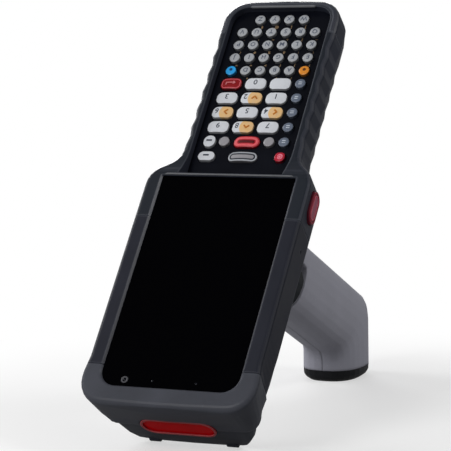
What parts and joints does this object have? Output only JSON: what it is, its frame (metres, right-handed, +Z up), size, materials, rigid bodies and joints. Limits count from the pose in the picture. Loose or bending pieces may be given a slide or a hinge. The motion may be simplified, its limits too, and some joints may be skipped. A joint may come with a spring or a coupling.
{
  "type": "handheld barcode data terminal",
  "caption": "Handheld barcode data terminal: touch display, scan window in the nose, keypad handle with number and letter keys, and a pistol grip with a trigger.",
  "frame": {"origin": "on the ground below the middle of the terminal, which stands on the ribs under its nose and on the foot of its grip", "axes": "+X to the side with the small column keys, -Y towards the scanner nose, +Y towards the foot of the grip, +Z up"},
  "size_m": [0.0852, 0.2338, 0.1975],
  "materials": {
    "case_shell": "satin dark blue-grey moulding",
    "case_back": "matt dark blue-grey moulding",
    "bumper": "soft satin overmould",
    "rails": "satin",
    "key_plate": "gloss black",
    "touch_glass": "gloss black glass",
    "display": "matt",
    "circuit_board": "solder resist",
    "key_mat": "silicone",
    "red_window": "deep red filter",
    "window_bezel": "satin pink-red",
    "black_plastic": "matt black",
    "battery_case": "matt",
    "latch": "matt",
    "side_button": "satin maroon",
    "contact_gold": "plated",
    "steel": "satin",
    "grip": "satin mid grey",
    "foot_rubber": "matt black",
    "trigger_black": "satin",
    "bracket": "matt",
    "key_white": "satin",
    "key_grey": "satin",
    "key_steel": "satin",
    "key_silver": "translucent silver",
    "key_red": "gloss",
    "key_dark_red": "gloss",
    "key_pink": "gloss",
    "key_blue": "gloss",
    "key_orange": "gloss"
  },
  "bodies": {
    "terminal": {"front_housing": "case_shell", "keypad_face": "key_plate", "rear_housing": "case_back", "nose_bumper": "bumper", "side_rails": "rails", "tail_bumper": "bumper", "touch_glass": "touch_glass", "display_module": "display", "main_board": "circuit_board", "keypad_mat": "key_mat", "keypad_board": "circuit_board", "scan_window": "red_window", "window_bezel": "window_bezel", "scan_engine": "black_plastic", "dock_contacts": "contact_gold", "case_screws": "steel", "grip_shell_left": "grip", "grip_shell_right": "grip", "grip_foot": "foot_rubber", "trigger_pin": "steel", "trigger_spring": "steel", "trigger_switch": "black_plastic", "grip_bracket": "bracket", "grip_screws": "steel"},
    "key_0_body": {"key_0": "key_white"},
    "key_1_body": {"key_1": "key_white"},
    "key_2_body": {"key_2": "key_white"},
    "key_3_body": {"key_3": "key_white"},
    "key_4_body": {"key_4": "key_white"},
    "key_5_body": {"key_5": "key_white"},
    "key_6_body": {"key_6": "key_white"},
    "key_7_body": {"key_7": "key_white"},
    "key_8_body": {"key_8": "key_white"},
    "key_9_body": {"key_9": "key_white"},
    "key_point_body": {"key_point": "key_white"},
    "key_enter_body": {"key_enter": "key_dark_red"},
    "key_scan_body": {"key_scan": "key_red"},
    "key_home_body": {"key_home": "key_grey"},
    "key_menu_body": {"key_menu": "key_white"},
    "key_back_body": {"key_back": "key_white"},
    "key_send_body": {"key_send": "key_grey"},
    "key_end_body": {"key_end": "key_grey"},
    "key_tab_body": {"key_tab": "key_steel"},
    "key_power_body": {"key_power": "key_pink"},
    "key_blue_body": {"key_blue": "key_blue"},
    "key_orange_body": {"key_orange": "key_orange"},
    "key_side_1_body": {"key_side_1": "key_steel"},
    "key_side_2_body": {"key_side_2": "key_steel"},
    "key_side_3_body": {"key_side_3": "key_steel"},
    "key_side_4_body": {"key_side_4": "key_steel"},
    "letters_row_1_body": {"letters_row_1": "key_silver"},
    "letters_row_2_body": {"letters_row_2": "key_silver"},
    "letters_row_3_body": {"letters_row_3": "key_silver"},
    "letters_row_4_body": {"letters_row_4": "key_silver"},
    "letters_row_5_body": {"letters_row_5": "key_silver"},
    "side_button_left_body": {"side_button_left": "side_button"},
    "side_button_right_body": {"side_button_right": "side_button"},
    "trigger_body": {"trigger": "trigger_black"},
    "battery_body": {"battery_pack": "battery_case"},
    "latch_body": {"battery_latch": "latch"}
  },
  "joints": [
    {"name": "key_0_press", "type": "slide", "parent": "terminal", "child": "key_0_body", "axis": [0, 0.7716, -0.6361], "range_m": [0, 0.0008], "stiffness_N_per_m": 500},
    {"name": "key_1_press", "type": "slide", "parent": "terminal", "child": "key_1_body", "axis": [0, 0.7716, -0.6361], "range_m": [0, 0.0008], "stiffness_N_per_m": 500},
    {"name": "key_2_press", "type": "slide", "parent": "terminal", "child": "key_2_body", "axis": [0, 0.7716, -0.6361], "range_m": [0, 0.0008], "stiffness_N_per_m": 500},
    {"name": "key_3_press", "type": "slide", "parent": "terminal", "child": "key_3_body", "axis": [0, 0.7716, -0.6361], "range_m": [0, 0.0008], "stiffness_N_per_m": 500},
    {"name": "key_4_press", "type": "slide", "parent": "terminal", "child": "key_4_body", "axis": [0, 0.7716, -0.6361], "range_m": [0, 0.0008], "stiffness_N_per_m": 500},
    {"name": "key_5_press", "type": "slide", "parent": "terminal", "child": "key_5_body", "axis": [0, 0.7716, -0.6361], "range_m": [0, 0.0008], "stiffness_N_per_m": 500},
    {"name": "key_6_press", "type": "slide", "parent": "terminal", "child": "key_6_body", "axis": [0, 0.7716, -0.6361], "range_m": [0, 0.0008], "stiffness_N_per_m": 500},
    {"name": "key_7_press", "type": "slide", "parent": "terminal", "child": "key_7_body", "axis": [0, 0.7716, -0.6361], "range_m": [0, 0.0008], "stiffness_N_per_m": 500},
    {"name": "key_8_press", "type": "slide", "parent": "terminal", "child": "key_8_body", "axis": [0, 0.7716, -0.6361], "range_m": [0, 0.0008], "stiffness_N_per_m": 500},
    {"name": "key_9_press", "type": "slide", "parent": "terminal", "child": "key_9_body", "axis": [0, 0.7716, -0.6361], "range_m": [0, 0.0008], "stiffness_N_per_m": 500},
    {"name": "key_point_press", "type": "slide", "parent": "terminal", "child": "key_point_body", "axis": [0, 0.7716, -0.6361], "range_m": [0, 0.0008], "stiffness_N_per_m": 500},
    {"name": "key_enter_press", "type": "slide", "parent": "terminal", "child": "key_enter_body", "axis": [0, 0.7716, -0.6361], "range_m": [0, 0.0008], "stiffness_N_per_m": 500},
    {"name": "key_scan_press", "type": "slide", "parent": "terminal", "child": "key_scan_body", "axis": [0, 0.7716, -0.6361], "range_m": [0, 0.0008], "stiffness_N_per_m": 500},
    {"name": "key_home_press", "type": "slide", "parent": "terminal", "child": "key_home_body", "axis": [0, 0.7716, -0.6361], "range_m": [0, 0.0008], "stiffness_N_per_m": 500},
    {"name": "key_menu_press", "type": "slide", "parent": "terminal", "child": "key_menu_body", "axis": [0, 0.7716, -0.6361], "range_m": [0, 0.0008], "stiffness_N_per_m": 500},
    {"name": "key_back_press", "type": "slide", "parent": "terminal", "child": "key_back_body", "axis": [0, 0.7716, -0.6361], "range_m": [0, 0.0008], "stiffness_N_per_m": 500},
    {"name": "key_send_press", "type": "slide", "parent": "terminal", "child": "key_send_body", "axis": [0, 0.7716, -0.6361], "range_m": [0, 0.0008], "stiffness_N_per_m": 500},
    {"name": "key_end_press", "type": "slide", "parent": "terminal", "child": "key_end_body", "axis": [0, 0.7716, -0.6361], "range_m": [0, 0.0008], "stiffness_N_per_m": 500},
    {"name": "key_tab_press", "type": "slide", "parent": "terminal", "child": "key_tab_body", "axis": [0, 0.7716, -0.6361], "range_m": [0, 0.0008], "stiffness_N_per_m": 500},
    {"name": "key_power_press", "type": "slide", "parent": "terminal", "child": "key_power_body", "axis": [0, 0.7716, -0.6361], "range_m": [0, 0.0008], "stiffness_N_per_m": 500},
    {"name": "key_blue_press", "type": "slide", "parent": "terminal", "child": "key_blue_body", "axis": [0, 0.7716, -0.6361], "range_m": [0, 0.0008], "stiffness_N_per_m": 500},
    {"name": "key_orange_press", "type": "slide", "parent": "terminal", "child": "key_orange_body", "axis": [0, 0.7716, -0.6361], "range_m": [0, 0.0008], "stiffness_N_per_m": 500},
    {"name": "key_side_1_press", "type": "slide", "parent": "terminal", "child": "key_side_1_body", "axis": [0, 0.7716, -0.6361], "range_m": [0, 0.0008], "stiffness_N_per_m": 500},
    {"name": "key_side_2_press", "type": "slide", "parent": "terminal", "child": "key_side_2_body", "axis": [0, 0.7716, -0.6361], "range_m": [0, 0.0008], "stiffness_N_per_m": 500},
    {"name": "key_side_3_press", "type": "slide", "parent": "terminal", "child": "key_side_3_body", "axis": [0, 0.7716, -0.6361], "range_m": [0, 0.0008], "stiffness_N_per_m": 500},
    {"name": "key_side_4_press", "type": "slide", "parent": "terminal", "child": "key_side_4_body", "axis": [0, 0.7716, -0.6361], "range_m": [0, 0.0008], "stiffness_N_per_m": 500},
    {"name": "letters_row_1_press", "type": "slide", "parent": "terminal", "child": "letters_row_1_body", "axis": [0, 0.7716, -0.6361], "range_m": [0, 0.0008], "stiffness_N_per_m": 2000},
    {"name": "letters_row_2_press", "type": "slide", "parent": "terminal", "child": "letters_row_2_body", "axis": [0, 0.7716, -0.6361], "range_m": [0, 0.0008], "stiffness_N_per_m": 3000},
    {"name": "letters_row_3_press", "type": "slide", "parent": "terminal", "child": "letters_row_3_body", "axis": [0, 0.7716, -0.6361], "range_m": [0, 0.0008], "stiffness_N_per_m": 3000},
    {"name": "letters_row_4_press", "type": "slide", "parent": "terminal", "child": "letters_row_4_body", "axis": [0, 0.7716, -0.6361], "range_m": [0, 0.0008], "stiffness_N_per_m": 3000},
    {"name": "letters_row_5_press", "type": "slide", "parent": "terminal", "child": "letters_row_5_body", "axis": [0, 0.7716, -0.6361], "range_m": [0, 0.0008], "stiffness_N_per_m": 2000},
    {"name": "side_button_left_press", "type": "slide", "parent": "terminal", "child": "side_button_left_body", "axis": [1, 0, 0], "range_m": [0, 0.001], "stiffness_N_per_m": 600},
    {"name": "side_button_right_press", "type": "slide", "parent": "terminal", "child": "side_button_right_body", "axis": [-1, 0, 0], "range_m": [0, 0.001], "stiffness_N_per_m": 600},
    {"name": "trigger_pull", "type": "hinge", "parent": "terminal", "child": "trigger_body", "pos_m": [0, -0.00791, 0.06722], "axis": [1, 0, 0], "range_deg": [0, 6], "stiffness_Nm_per_rad": 0.3, "springref_deg": -8.59, "deforming": ["trigger_spring"]},
    {"name": "battery_release", "type": "slide", "parent": "terminal", "child": "battery_body", "axis": [0, 0.7716, -0.6361], "range_m": [0, 0.003]},
    {"name": "latch_slide", "type": "slide", "parent": "terminal", "child": "latch_body", "axis": [0, -0.6361, -0.7716], "range_m": [0, 0.003], "stiffness_N_per_m": 400, "springref_m": -0.004}
  ],
  "couplings": [
    {"joint": "latch_slide", "follows": "battery_release", "ratio": 1}
  ]
}
